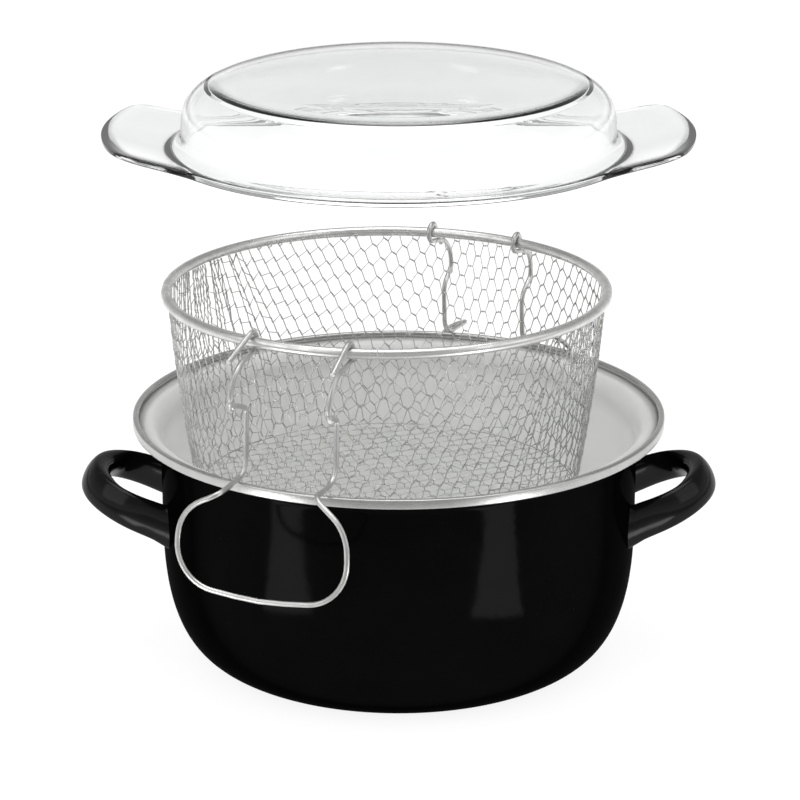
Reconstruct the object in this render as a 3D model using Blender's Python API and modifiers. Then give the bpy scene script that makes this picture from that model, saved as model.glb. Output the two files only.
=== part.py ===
"""Deep fryer pot, laid out one piece above the other: an enamelled pot with a steel rim
band and two strap handles, a wire frying basket whose two wire handles hook over the
pot's rim to drain it, and a glass lid held above them. Metres, +Z up, and the origin on
the pot's axis at the surface it stands on."""

import math

import bpy
import bmesh
from mathutils import Matrix, Vector

# Pot
pot_height = 0.1267            # from its foot to the top of the rim band
body_radius = 0.1213           # outside of the straight wall
corner_height = 0.0700         # where the straight wall starts to round in to the foot
corner_width = 0.0333          # how far it rounds in, to the edge of the flat round foot
corner_power = 2.5             # roundness of that corner: 2 is an ellipse
pot_sheet = 0.0014             # enamelled steel
flare_radius = 0.0090
flare_angle = math.radians(60)
flare_rise = 0.0008            # of the flare's straight part, from that bend to the lip
lip_width = 0.0130             # from the straight wall out to the outside of the lip

# Rim band, a steel channel closed round the lip
band_sheet = 0.0005
band_outer_leg = 0.0045
band_inner_leg = 0.0030
fit_gap = 0.0003               # between touching pieces

# Strap handles of the pot
strap_height = 0.0160
strap_thickness = 0.0062
strap_half_span = 0.0325       # from the handle's middle to the centre of a strand
strap_length = 0.0444          # along its own slope, from the wall to its outer end
strap_bend_length = 0.0320     # of that, the rounded end
strap_bend_power = 2.1
strap_root_height = 0.0750
strap_rise = math.radians(22.5)
strap_lean = math.radians(8)   # on top of the rise, the upper edge leans in
strap_root_share = 1.20        # the strap is this much heavier where it meets the wall

# Basket
basket_side_gap = 0.0107       # from the pot's straight wall in to the rim bead's centre
basket_depth = 0.1050          # from the rim bead to the base ring, centre to centre
basket_draw = 0.0141           # the base ring's centre line is this far inside the bead's
bead_radius = 0.0026
base_ring_radius = 0.0014
basket_shift = 0.0060          # the raised basket hangs off the pot's axis, towards -X
wall_inset = 0.0011            # the wall's top edge, in from the bead's centre
wall_taper_power = 1.4         # the wall is steep at the top and slopes lower down

# Netting, made coarser than the real one
net_wire = 0.0010
half_wall_columns = 21         # upright columns of meshes on each side of the handles
wall_rows = 3
floor_column_pitch = 0.0240
floor_row_pitch = 0.0500

# Wire handles of the basket
wire_radius = 0.0013
eye_gap = 0.0008               # running gap between an eye and the rim bead
front_turn = math.radians(21.7)  # the front handle is this far round from -Y to -X
rear_turn = math.radians(25.5)   # and the rear one from +Y to +X
eye_columns = 1.5              # from the handle's middle to an eye, in net columns
nose_out = 0.0281              # outermost corner of the spring bend, from the hinge line
nose_drop = 0.0096
chin_out = 0.0227              # its lower corner
chin_drop = 0.0255
kink_out = 0.0117              # where the leg turns straight down
leg_foot_out = 0.0136          # where the leg turns out over the pot's rim
hook_drop = 0.0613
hook_gap = 0.0008              # between the hook and the rim band's top
hook_reach = 0.0446            # where that run turns down into the grip
tail_out = 0.0200
tail_drop = 0.0036
tail_leave = math.radians(66)  # on the eye, up from the outward direction
leg_leave = math.radians(260)
grip_slope = math.radians(82)
grip_length = 0.0513
grip_half_width = 0.0440
grip_shoulder_share = 0.19     # down the grip's length
grip_shoulder_width_share = 0.96
grip_foot_share = 0.905
nose_bend = 0.0070
chin_bend = 0.0030
kink_bend = 0.0020
leg_foot_bend = 0.0030
hook_bend = 0.0060
shoulder_bend = 0.0200
foot_bend = 0.0210

# Lid
lid_clearance = 0.0725         # from the basket's rim bead up to the lid's edge
lid_side_gap = 0.0038          # from the pot's straight wall in to the lid's round edge
lid_glass = 0.0036
flange_width = 0.0100          # from the lid's round edge in to the foot of the dome
dome_height = 0.0415           # from the lid's lower edge to the top of the dome
dome_foot_height = 0.0072      # where the dome meets the flange
dome_power = 3.45
ear_length = 0.0285            # from the lid's round edge out to the end of an ear
ear_half_width = 0.0600
ear_height = 0.0080            # how far an ear rises above the flange
ear_corner_power = 20
ear_root_power = 18
ear_azimuth_shares = (0, 0.10, 0.19, 0.245, 0.272, 0.296, 0.32, 0.345, 0.39, 0.48, 0.60,
                      0.73, 0.86)

# Fineness
turn_steps = 48
bead_sides = 8
base_ring_sides = 6
wire_bend_step = math.radians(35)
eye_step = math.radians(28)
cut_overrun = 0.0200
merge_distance = 0.00001

lip_radius = body_radius + lip_width
lip_bend_drop = band_inner_leg + pot_sheet
basket_radius = body_radius - basket_side_gap
basket_base_radius = basket_radius - basket_draw
lid_radius = body_radius - lid_side_gap
dome_radius = lid_radius - flange_width
ear_reach = lid_radius + ear_length
basket_rim_height = pot_height + hook_gap + wire_radius + hook_drop
column_angle = math.pi / half_wall_columns
eye_half_spacing = basket_radius * math.sin(eye_columns * column_angle)
hinge_distance = basket_radius * math.cos(eye_columns * column_angle)
eye_radius = bead_radius + eye_gap + wire_radius
front_azimuth = -math.pi / 2 - front_turn
rear_azimuth = math.pi / 2 - rear_turn

for old in list(bpy.data.objects):
    bpy.data.objects.remove(old)

parts = bpy.data.collections.new("deep_fryer_pot")
cutters = bpy.data.collections.new("cutters")
bpy.context.scene.collection.children.link(parts)
bpy.context.scene.collection.children.link(cutters)


def material(name, color, roughness, metallic=0.0, alpha=1.0):
    made = bpy.data.materials.new(name)
    made.use_nodes = True
    shader = made.node_tree.nodes["Principled BSDF"]
    shader.inputs["Base Color"].default_value = (*color, 1.0)
    shader.inputs["Roughness"].default_value = roughness
    shader.inputs["Metallic"].default_value = metallic
    shader.inputs["Alpha"].default_value = alpha
    return made


black_enamel = material("black_enamel", (0.008, 0.008, 0.009), 0.08)
band_steel = material("band_steel", (0.62, 0.62, 0.61), 0.22, 1.0)
wire_steel = material("wire_steel", (0.66, 0.66, 0.65), 0.30, 1.0)
clear_glass = material("clear_glass", (0.90, 0.93, 0.92), 0.03, 0.0, 0.35)


def add_object(name, mesh, finish, collection=parts):
    made = bpy.data.objects.new(name, mesh)
    collection.objects.link(made)
    if finish:
        mesh.materials.append(finish)
    return made


def mesh_from(bm, name):
    mesh = bpy.data.meshes.new(name)
    bm.to_mesh(mesh)
    bm.free()
    return mesh


def shade(mesh):
    mesh.shade_smooth()
    mesh.set_sharp_from_angle(angle=math.radians(40))


def profile_mesh(name, profile, closed=False):
    """Edges through points (distance from the axis, height) in the XZ plane."""
    bm = bmesh.new()
    corners = [bm.verts.new((out, 0, height)) for out, height in profile]
    for start, end in zip(corners, corners[1:]):
        bm.edges.new((start, end))
    if closed:
        bm.edges.new((corners[-1], corners[0]))
    return mesh_from(bm, name)


def turn(piece):
    """Turn a profile that lies in the XZ plane about Z."""
    screw = piece.modifiers.new("turn", "SCREW")
    screw.steps = turn_steps
    screw.render_steps = turn_steps
    screw.use_merge_vertices = True
    screw.merge_threshold = merge_distance
    screw.use_smooth_shade = True


def thicken(piece, thickness):
    """Give an open surface its wall, on the side its normals turn away from."""
    shell = piece.modifiers.new("wall", "SOLIDIFY")
    shell.thickness = thickness
    shell.offset = -1
    shell.use_even_offset = True


def mesh_of(curve_object):
    """The evaluated mesh of a curve object, welded, in its own space."""
    bpy.context.view_layer.update()
    evaluated = curve_object.evaluated_get(bpy.context.evaluated_depsgraph_get())
    mesh = bpy.data.meshes.new_from_object(evaluated)
    mesh.materials.clear()
    bm = bmesh.new()
    bm.from_mesh(mesh)
    bmesh.ops.remove_doubles(bm, verts=bm.verts, dist=merge_distance)
    bm.to_mesh(mesh)
    bm.free()
    return mesh


def quarter_point(share, width, height, power):
    """On a quarter of a superellipse, from (width, 0) at 0 to (0, height) at 1."""
    angle = share * math.pi / 2
    out = width * max(math.cos(angle), 0) ** (2 / power)
    up = height * max(math.sin(angle), 0) ** (2 / power)
    return out, up


def pot_profile():
    """Outside of the pot, from the edge of its lip down to the middle of its foot."""
    flare_start = (pot_height - lip_bend_drop - flare_rise
                   - flare_radius * math.sin(flare_angle))
    bend_centre = body_radius + flare_radius
    points = [(lip_radius, pot_height - band_sheet - fit_gap),
              (lip_radius, pot_height - lip_bend_drop)]
    flare_steps = 3
    for step in range(flare_steps + 1):
        angle = flare_angle * (1 - step / flare_steps)
        points.append((bend_centre - flare_radius * math.cos(angle),
                       flare_start + flare_radius * math.sin(angle)))
    corner_steps = 8
    for step in range(corner_steps + 1):
        out, down = quarter_point(step / corner_steps, corner_width, corner_height,
                                  corner_power)
        points.append((body_radius - corner_width + out, corner_height - down))
    points.append((0, 0))
    return points


def make_pot():
    pot = add_object("pot_shell", profile_mesh("pot_shell", pot_profile()), black_enamel)
    turn(pot)
    thicken(pot, pot_sheet)


def make_rim_band():
    """A channel whose two legs reach down over the lip."""
    outer = lip_radius + fit_gap + band_sheet
    inner = lip_radius - pot_sheet - fit_gap - band_sheet
    top = pot_height
    profile = [
        (inner + band_sheet, top), (outer - band_sheet, top),
        (outer, top - band_sheet), (outer, top - band_outer_leg),
        (outer - band_sheet, top - band_outer_leg), (outer - band_sheet, top - band_sheet),
        (inner + band_sheet, top - band_sheet), (inner + band_sheet, top - band_inner_leg),
        (inner, top - band_inner_leg), (inner, top - band_sheet),
    ]
    band = add_object("rim_band", profile_mesh("rim_band", profile, closed=True), band_steel)
    turn(band)


def make_wall_cutter():
    """The pot's round wall, a fit gap larger, that the strap handles are cut to."""
    bm = bmesh.new()
    radius = body_radius + fit_gap
    bmesh.ops.create_cone(bm, cap_ends=True, segments=turn_steps, radius1=radius,
                          radius2=radius, depth=2 * pot_height)
    cutter = add_object("wall_cutter", mesh_from(bm, "wall_cutter"), None, cutters)
    cutter.hide_render = True
    cutter.display_type = "WIRE"
    return cutter


def poly_curve(name, points, closed=False):
    curve = bpy.data.curves.new(name, "CURVE")
    curve.dimensions = "3D"
    line = curve.splines.new("POLY")
    line.points.add(len(points) - 1)
    for spot, place in zip(line.points, points):
        spot.co = (*place, 1)
    line.use_cyclic_u = closed
    return curve


def strap_section():
    """The strap's oval section, as a guide that the strap's curve is drawn with."""
    sides = 12
    oval = []
    for side in range(sides):
        angle = -2 * math.pi * side / sides
        oval.append((math.cos(angle) * strap_thickness / 2,
                     math.sin(angle) * strap_height / 2, 0))
    section = add_object("strap_section", poly_curve("strap_section", oval, closed=True),
                         None, cutters)
    section.hide_render = True
    section.display_type = "WIRE"
    return section


def strap_line():
    """Middle line of the strap in its own plane: from the wall out, round and back."""
    straight = strap_length - strap_bend_length
    steps = 8
    side = [(-cut_overrun, strap_half_span, 0), (0, strap_half_span, 0)]
    for step in range(steps + 1):
        across, out = quarter_point(step / steps, strap_half_span, strap_bend_length,
                                    strap_bend_power)
        side.append((straight + out, across, 0))
    return side + [(out, -across, 0) for out, across, _ in reversed(side[:-1])]


def make_strap_handle(name, heading, cutter, section):
    curve = poly_curve(name, strap_line())
    curve.twist_mode = "Z_UP"
    curve.bevel_mode = "OBJECT"
    curve.bevel_object = section
    curve.use_fill_caps = True
    for spot in curve.splines[0].points:
        outward = max(spot.co.x / strap_length, 0)
        spot.radius = strap_root_share + (1 - strap_root_share) * outward
        spot.tilt = strap_lean
    guide = add_object(name + "_line", curve, None)
    mesh = mesh_of(guide)
    bpy.data.objects.remove(guide)
    shade(mesh)
    root = math.sqrt(body_radius ** 2 - strap_half_span ** 2)
    strap = add_object(name, mesh, black_enamel)
    strap.matrix_world = (Matrix.Rotation(heading, 4, "Z")
                          @ Matrix.Translation((root, 0, strap_root_height))
                          @ Matrix.Rotation(-strap_rise, 4, "Y"))
    cut = strap.modifiers.new("fit_to_wall", "BOOLEAN")
    cut.operation = "DIFFERENCE"
    cut.object = cutter


def make_basket_ring(name, radius, section_radius, sides, height):
    bpy.ops.mesh.primitive_torus_add(major_radius=radius, minor_radius=section_radius,
                                     major_segments=turn_steps, minor_segments=sides)
    ring = bpy.context.object
    for holder in list(ring.users_collection):
        holder.objects.unlink(ring)
    parts.objects.link(ring)
    ring.name = name
    ring.data.name = name
    ring.data.shade_smooth()
    ring.data.materials.append(wire_steel)
    ring.parent = basket_root
    ring.location = (0, 0, height)


def net_sheet(centres, column_pitch, row_pitch):
    """A flat sheet of six-sided meshes, level at top and bottom, joined at their edges."""
    bm = bmesh.new()
    stretch = Matrix.Diagonal((column_pitch / 3, row_pitch / math.sqrt(3), 1, 1))
    for across, up in centres:
        place = (Matrix.Translation((across, up, 0)) @ stretch
                 @ Matrix.Rotation(math.radians(30), 4, "Z"))
        bmesh.ops.create_circle(bm, cap_ends=True, segments=6, radius=1, matrix=place)
    bmesh.ops.remove_doubles(bm, verts=bm.verts, dist=merge_distance)
    return bm


def cut_level(bm, up, keep):
    """Cut the sheet along a level line and keep what lies above (1) or below (-1) it."""
    everything = list(bm.verts) + list(bm.edges) + list(bm.faces)
    bmesh.ops.bisect_plane(bm, geom=everything, dist=merge_distance,
                           plane_co=(0, up, 0), plane_no=(0, -keep, 0), clear_outer=True)


def add_wires(piece):
    wires = piece.modifiers.new("wires", "WIREFRAME")
    wires.thickness = net_wire
    wires.use_boundary = True
    wires.use_replace = True
    wires.use_even_offset = False


def column_azimuth(column):
    """Direction of an upright column, counted from the front handle round to the rear
    one and on back; the two halves of the ring are not quite equal."""
    column %= 2 * half_wall_columns
    swept = rear_azimuth - front_azimuth
    if column > half_wall_columns:
        share = (column - half_wall_columns) / half_wall_columns
        return rear_azimuth + share * (2 * math.pi - swept)
    return front_azimuth + column / half_wall_columns * swept


def wall_radius(depth):
    top = basket_radius - wall_inset
    return top - (top - basket_base_radius) * (depth / basket_depth) ** wall_taper_power


def make_basket_wall():
    """Netting rolled into a ring, with a notch at each eye of the wire handles."""
    columns = 2 * half_wall_columns
    pitch = 2 * math.pi * basket_base_radius / columns
    top_depth = bead_radius + fit_gap + net_wire / 2
    foot_depth = basket_depth - base_ring_radius - fit_gap - net_wire / 2
    row_pitch = (foot_depth - top_depth) / wall_rows
    rise = wall_rows * row_pitch
    notched = {column % columns for turned in (0, half_wall_columns)
               for column in (turned + int(eye_columns), turned - math.ceil(eye_columns))}
    centres = []
    for column in range(columns):
        for row in range(wall_rows):
            centres.append((column * pitch, (row + 0.5) * row_pitch))
        for row in range(wall_rows + 1):
            if row < wall_rows or column not in notched:
                centres.append(((column + 0.5) * pitch, row * row_pitch))
    bm = net_sheet(centres, pitch, row_pitch)
    cut_level(bm, 0, 1)
    cut_level(bm, rise, -1)
    for corner in bm.verts:
        azimuth = column_azimuth(corner.co.x / pitch)
        depth = foot_depth - corner.co.y
        radius = wall_radius(depth)
        corner.co = (radius * math.cos(azimuth), radius * math.sin(azimuth), -depth)
    bmesh.ops.remove_doubles(bm, verts=bm.verts, dist=merge_distance)
    wall = add_object("basket_wall", mesh_from(bm, "basket_wall"), wire_steel)
    wall.parent = basket_root
    add_wires(wall)


def make_basket_floor():
    """A flat sheet of netting, drawn in to a round edge inside the base ring."""
    edge = basket_base_radius - base_ring_radius - fit_gap - net_wire / 2
    columns = math.ceil(edge / floor_column_pitch) + 1
    rows = math.ceil(edge / floor_row_pitch) + 1
    centres = []
    for column in range(-columns, columns + 1):
        for row in range(-rows, rows + 1):
            centres.append((column * floor_column_pitch, row * floor_row_pitch))
            centres.append(((column + 0.5) * floor_column_pitch,
                            (row + 0.5) * floor_row_pitch))
    bm = net_sheet(centres, floor_column_pitch, floor_row_pitch)
    outside = {corner for corner in bm.verts if corner.co.length > edge}
    lost = [face for face in bm.faces if all(corner in outside for corner in face.verts)]
    bmesh.ops.delete(bm, geom=lost, context="FACES")
    for corner in bm.verts:
        if corner.co.length > edge:
            corner.co *= edge / corner.co.length
    floor = add_object("basket_floor", mesh_from(bm, "basket_floor"), wire_steel)
    floor.parent = basket_root
    floor.location = (0, 0, -basket_depth)
    add_wires(floor)


def rounded(corners):
    """A line through (point, bend radius) pairs with its corners rounded to arcs."""
    points = []
    for index, (corner, bend) in enumerate(corners):
        if not bend:
            points.append(corner)
            continue
        back = (corners[index - 1][0] - corner).normalized()
        ahead = (corners[index + 1][0] - corner).normalized()
        half = back.angle(ahead) / 2
        centre = corner + (back + ahead).normalized() * bend / math.sin(half)
        start = corner + back * bend / math.tan(half) - centre
        end = corner + ahead * bend / math.tan(half) - centre
        swept = start.angle(end)
        steps = max(math.ceil(swept / wire_bend_step), 1)
        for step in range(steps + 1):
            share = step / steps
            points.append(centre + (start * math.sin((1 - share) * swept)
                                    + end * math.sin(share * swept)) / math.sin(swept))
    return points


def handle_line():
    """Middle line of a wire handle in its hinge's space: X along the hinge line, Y out
    from the basket. Half of it runs from the tail round the eye and down to the grip."""
    side = eye_half_spacing

    def flat(out, up):
        return Vector((side, out, up))

    def grip(across, down):
        return Vector((across, hook_reach + down * math.cos(grip_slope),
                       -hook_drop - down * math.sin(grip_slope)))

    half = [flat(tail_out, -tail_drop)]
    eye_steps = math.ceil((leg_leave - tail_leave) / eye_step)
    for step in range(eye_steps + 1):
        angle = tail_leave + (leg_leave - tail_leave) * step / eye_steps
        half.append(flat(eye_radius * math.cos(angle), eye_radius * math.sin(angle)))
    half += rounded([
        (half[-1], 0),
        (flat(nose_out, -nose_drop), nose_bend),
        (flat(chin_out, -chin_drop), chin_bend),
        (flat(kink_out, -chin_drop), kink_bend),
        (flat(leg_foot_out, -hook_drop), leg_foot_bend),
        (flat(hook_reach, -hook_drop), hook_bend),
        (grip(grip_half_width * grip_shoulder_width_share,
              grip_length * grip_shoulder_share), shoulder_bend),
        (grip(grip_half_width, grip_length * grip_foot_share), foot_bend),
        (grip(0, grip_length), 0),
    ])[1:]
    return half + [Vector((-spot.x, spot.y, spot.z)) for spot in reversed(half[:-1])]


def make_wire_handle(name, azimuth):
    hinge = bpy.data.objects.new(name + "_hinge", None)
    parts.objects.link(hinge)
    hinge.parent = basket_root
    hinge.location = Vector((math.cos(azimuth), math.sin(azimuth), 0)) * hinge_distance
    hinge.rotation_euler = (0, 0, azimuth - math.pi / 2)
    curve = poly_curve(name, handle_line())
    curve.bevel_depth = wire_radius
    curve.bevel_resolution = 2
    curve.use_fill_caps = True
    curve.materials.append(wire_steel)
    handle = bpy.data.objects.new(name, curve)
    parts.objects.link(handle)
    handle.parent = hinge


def lid_profile():
    """Upper side of the lid, from the middle of its dome down and out to its edge."""
    points = []
    dome_steps = 8
    for step in range(dome_steps + 1):
        out, up = quarter_point(1 - step / dome_steps, dome_radius,
                                dome_height - dome_foot_height, dome_power)
        points.append((out, dome_foot_height + up))
    flange_steps = 3
    for step in range(1, flange_steps + 1):
        share = step / flange_steps
        points.append((dome_radius + (lid_radius - dome_radius) * share,
                       dome_foot_height + (lid_glass - dome_foot_height) * share))
    return points


def ear_reach_at(azimuth):
    """Distance of the lid's edge from its axis, the two ears included."""
    side = ear_half_width / max(abs(math.sin(azimuth)), math.sin(merge_distance))
    ear = (ear_reach ** -ear_corner_power + side ** -ear_corner_power) \
        ** (-1 / ear_corner_power)
    return (ear ** ear_root_power + lid_radius ** ear_root_power) ** (1 / ear_root_power)


def lid_azimuths():
    """Where the lid's rows of points stand, closer together at the ears' corners."""
    quarter = list(ear_azimuth_shares)
    mirrored = [2 - share for share in reversed(quarter[1:])]
    half = quarter + [1.0] + mirrored
    return [share * math.pi / 2 for share in half + [share + 2 for share in half]]


def make_lid():
    bm = bmesh.new()
    bm.from_mesh(profile_mesh("glass_lid", lid_profile()))
    azimuths = lid_azimuths()
    step_angle = 2 * math.pi / len(azimuths)
    bmesh.ops.spin(bm, geom=list(bm.verts) + list(bm.edges), cent=(0, 0, 0),
                   axis=(0, 0, 1), angle=2 * math.pi, steps=len(azimuths),
                   use_merge=True, use_normal_flip=True)
    bmesh.ops.remove_doubles(bm, verts=bm.verts, dist=merge_distance)
    for corner in bm.verts:
        out = math.hypot(corner.co.x, corner.co.y)
        if out < merge_distance:
            continue
        step = round(math.atan2(corner.co.y, corner.co.x) / step_angle) % len(azimuths)
        azimuth = azimuths[step]
        flange = max((out - dome_radius) / (lid_radius - dome_radius), 0)
        reach = ear_reach_at(azimuth)
        ear = (reach - lid_radius) / (ear_reach - lid_radius)
        out += flange * (reach - lid_radius)
        corner.co = (out * math.cos(azimuth), out * math.sin(azimuth),
                     corner.co.z + flange * ear * ear_height)
    bmesh.ops.reverse_faces(bm, faces=bm.faces)
    mesh = mesh_from(bm, "glass_lid")
    shade(mesh)
    lid = add_object("glass_lid", mesh, clear_glass)
    lid.location = (0, 0, basket_rim_height + lid_clearance)
    thicken(lid, lid_glass)


basket_root = bpy.data.objects.new("basket_root", None)
parts.objects.link(basket_root)
basket_root.location = (-basket_shift, 0, basket_rim_height)

make_pot()
make_rim_band()
wall_cutter = make_wall_cutter()
section_guide = strap_section()
make_strap_handle("right_handle", 0, wall_cutter, section_guide)
make_strap_handle("left_handle", math.pi, wall_cutter, section_guide)
make_basket_ring("basket_rim", basket_radius, bead_radius, bead_sides, 0)
make_basket_ring("basket_base_ring", basket_base_radius, base_ring_radius,
                 base_ring_sides, -basket_depth)
make_basket_wall()
make_basket_floor()
make_wire_handle("front_wire_handle", front_azimuth)
make_wire_handle("rear_wire_handle", rear_azimuth)
make_lid()
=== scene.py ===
import math

import bmesh
import bpy
from mathutils import Matrix, Vector


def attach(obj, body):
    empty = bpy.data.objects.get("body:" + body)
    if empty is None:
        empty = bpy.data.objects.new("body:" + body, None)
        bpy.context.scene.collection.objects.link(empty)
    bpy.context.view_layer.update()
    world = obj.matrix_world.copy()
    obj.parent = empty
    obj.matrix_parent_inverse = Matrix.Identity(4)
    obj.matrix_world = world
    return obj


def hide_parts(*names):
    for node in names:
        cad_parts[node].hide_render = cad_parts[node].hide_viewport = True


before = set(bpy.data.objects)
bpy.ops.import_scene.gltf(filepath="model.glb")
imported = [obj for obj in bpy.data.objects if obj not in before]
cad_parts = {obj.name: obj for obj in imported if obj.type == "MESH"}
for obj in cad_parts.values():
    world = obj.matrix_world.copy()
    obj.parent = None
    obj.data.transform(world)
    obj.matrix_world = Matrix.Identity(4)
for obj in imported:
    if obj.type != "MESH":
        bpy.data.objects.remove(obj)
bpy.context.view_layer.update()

# Sizes in metres. Most are the solids' own.
pot_height = 0.1267
body_radius = 0.1213
corner_height = 0.0700
corner_width = 0.0333
corner_power = 2.5
pot_sheet = 0.0014
flare_radius = 0.0090
flare_angle = math.radians(60)
flare_rise = 0.0008
lip_width = 0.0130
lip_bend_radius = 0.0012
band_sheet = 0.0005
band_outer_leg = 0.0045
band_inner_leg = 0.0030        # the solids' one: the lip's bend lies below it
band_shown_inner_leg = 0.0014
band_bend_radius = 0.0009
band_edge_turn, band_edge_height = 0.0001, 0.0005   # its outer edge, turned in a little
fit_gap = 0.0003
painted_light_top, painted_light_bottom = 0.126, 0.106   # painted light: between these heights the grey inside turns to a paler painted colour, standing in for light that the pot's inside lacks

strap_height = 0.0160
strap_thickness = 0.0062
strap_half_span = 0.0325
strap_length = 0.0444
strap_bend_length = 0.0320
strap_bend_power = 2.1
strap_root_height = 0.0750
strap_rise = math.radians(22.5)
strap_lean = math.radians(8)
strap_root_share = 1.20        # thickness at the wall, against that at the bow's end
strap_root_depth = 0.0060      # how far the bar runs on behind the wall, before its trim
strap_wall_start = 0.0035
strap_weld_reach, strap_weld_swell = 0.0070, 0.06
strap_trim_reach = 0.0005      # the bar's points nearer to the wall than this are its ends
strap_end_extra = 0.0060       # the bar is this much thicker inwards at the bow's end
strap_extra_start, strap_extra_ease, strap_extra_edge = 0.55, 0.35, 0.20

basket_side_gap = 0.0107
basket_depth = 0.1050
basket_draw = 0.0141
bead_radius = 0.0026
bead_joint_gap = 0.0005
bead_joint_azimuth = math.radians(-92)
base_ring_radius = 0.00032
basket_shift = 0.0060
wall_inset = 0.0011
wall_taper_power = 1.4

wire_radius = 0.0013
eye_gap = 0.0008
front_turn = math.radians(21.7)
rear_turn = math.radians(25.5)
eye_turn = math.radians(360 / 42 * 1.5)   # from a handle's middle to one of its eyes
# A leg's corners: how far out and down each is, and its bend radius
nose_out, nose_drop, nose_bend = 0.0285, 0.0096, 0.0150
chin_out, chin_drop, chin_bend = 0.0222, 0.0245, 0.0052
kink_out = 0.0117
leg_foot_out, leg_foot_bend = 0.0136, 0.0100
leg_inset = 0.0015                        # the legs stand this much closer than the eyes
hook_drop, hook_gap, hook_reach, hook_bend = 0.0613, 0.0008, 0.0446, 0.0060
tail_leave = math.radians(66)             # where the tail and the leg leave the eye
leg_leave = math.radians(260)
tail_bend_share, tail_bend_rise = 0.12, 0.0003
nose_inset_share, chin_inset_share, nose_bulge_share = 0.4, 0.7, 0.6
grip_slope = math.radians(82)
grip_length = 0.0485
grip_half_width = 0.0440
grip_shoulder_share, grip_shoulder_width_share = 0.19, 0.96
grip_foot_share = 0.905
shoulder_bend, foot_bend, grip_bend = 0.0200, 0.0210, 0.1200
bend_step = math.radians(9)               # from one point of a rounded corner to the next

lid_clearance = 0.0725
lid_side_gap = 0.0038
lid_glass = 0.0036
flange_width = 0.0100
dome_height = 0.0415
dome_foot_height = 0.0072
dome_power = 3.45
dome_steps, dome_coarse_step = 240, 5
shoulder_zone = 0.082, 0.097   # every step of the dome's section is used here
hollow_start, hollow_rise_width = 0.0850, 0.0075
hollow_end, hollow_fall_width = 0.0940, 0.0014
hollow_depth = 0.00069
ear_length = 0.0285
ear_half_width = 0.0600
ear_height = 0.0080
ear_rise_power = 1.3
ear_corner_power = 20
ear_root_power = 18
foot_bend_radius = 0.0050      # where the dome runs out into the flange
foot_centre_height = 0.0099
ear_start = 0.1138             # the flange is drawn out to the ears from here
ear_start_rise = 0.0002
flange_slope = math.radians(8)
flange_top = lid_glass + 0.0004
flange_soft_edge = 0.0009
flange_step = 0.0008
flange_step_width, flange_step_soft = 0.0016, 0.0002
flange_drop = 0.0014           # full at the flange, and faded out up the dome's wall
flange_drop_top, flange_drop_fade = 0.022, 0.016

# The netting before it is drawn into the basket: a flat sheet of six-sided meshes
net_wire = 0.00056             # thickness of its wire
net_twist = 0.0027             # length of a twisted side of a mesh
net_pitch = 0.01151            # from one twist to the next along the wires
net_row = 0.00541              # from one row of twists to the next
net_corner = 0.0042            # roundness of the basket's lower corner
net_axis = math.radians(63.5)  # azimuth of its axis, which its wires cross
net_blank = 0.215              # half the width of the flat sheet
net_spare = 0.020              # the sheet is laid this far past the bead, then cut
net_part_share = 0.8           # this much of the corner's bend belongs to the floor
net_lean = 0.350, -0.050, -0.045   # the meshes' lean up the wall, in waves round it
net_lean_power = 1.147
net_least_give = 0.2
net_laying_step = 0.0015
net_held_margin = 0.0005
net_settling_rounds = 150
net_table_step, net_table_length = 0.0005, 600   # of a table of the basket's radii
net_straight_share = 0.04      # of a twist's length, at each of its ends
net_slope_step, net_least_radius = 0.001, 0.001

lip_radius = body_radius + lip_width
lip_bend_drop = band_inner_leg + pot_sheet
basket_radius = body_radius - basket_side_gap
basket_base_radius = basket_radius - basket_draw
lid_radius = body_radius - lid_side_gap
dome_radius = lid_radius - flange_width
ear_reach = lid_radius + ear_length
basket_rim_height = pot_height + hook_gap + wire_radius + hook_drop
lid_height = basket_rim_height + lid_clearance
eye_half_spacing = basket_radius * math.sin(eye_turn)
hinge_distance = basket_radius * math.cos(eye_turn)
eye_radius = bead_radius + eye_gap + wire_radius
front_azimuth = -math.pi / 2 - front_turn
rear_azimuth = math.pi / 2 - rear_turn
basket_centre = Vector((-basket_shift, 0, basket_rim_height))
weld = 0.00001                 # points closer than this become one


# ---------------------------------------------------------------- finishes

class Amount:
    """A number that changes over a surface. Sums and products of it add Math nodes."""

    def __init__(self, finish, socket):
        self.finish, self.socket = finish, socket

    def with_math(self, operation, *numbers):
        inputs = dict(enumerate(numbers))
        return self.finish.node("ShaderNodeMath", {"operation": operation}, inputs)

    def __add__(self, other):
        return self.with_math("ADD", self, other)

    def __mul__(self, other):
        return self.with_math("MULTIPLY", self, other)

    __radd__ = __add__
    __rmul__ = __mul__


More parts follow.
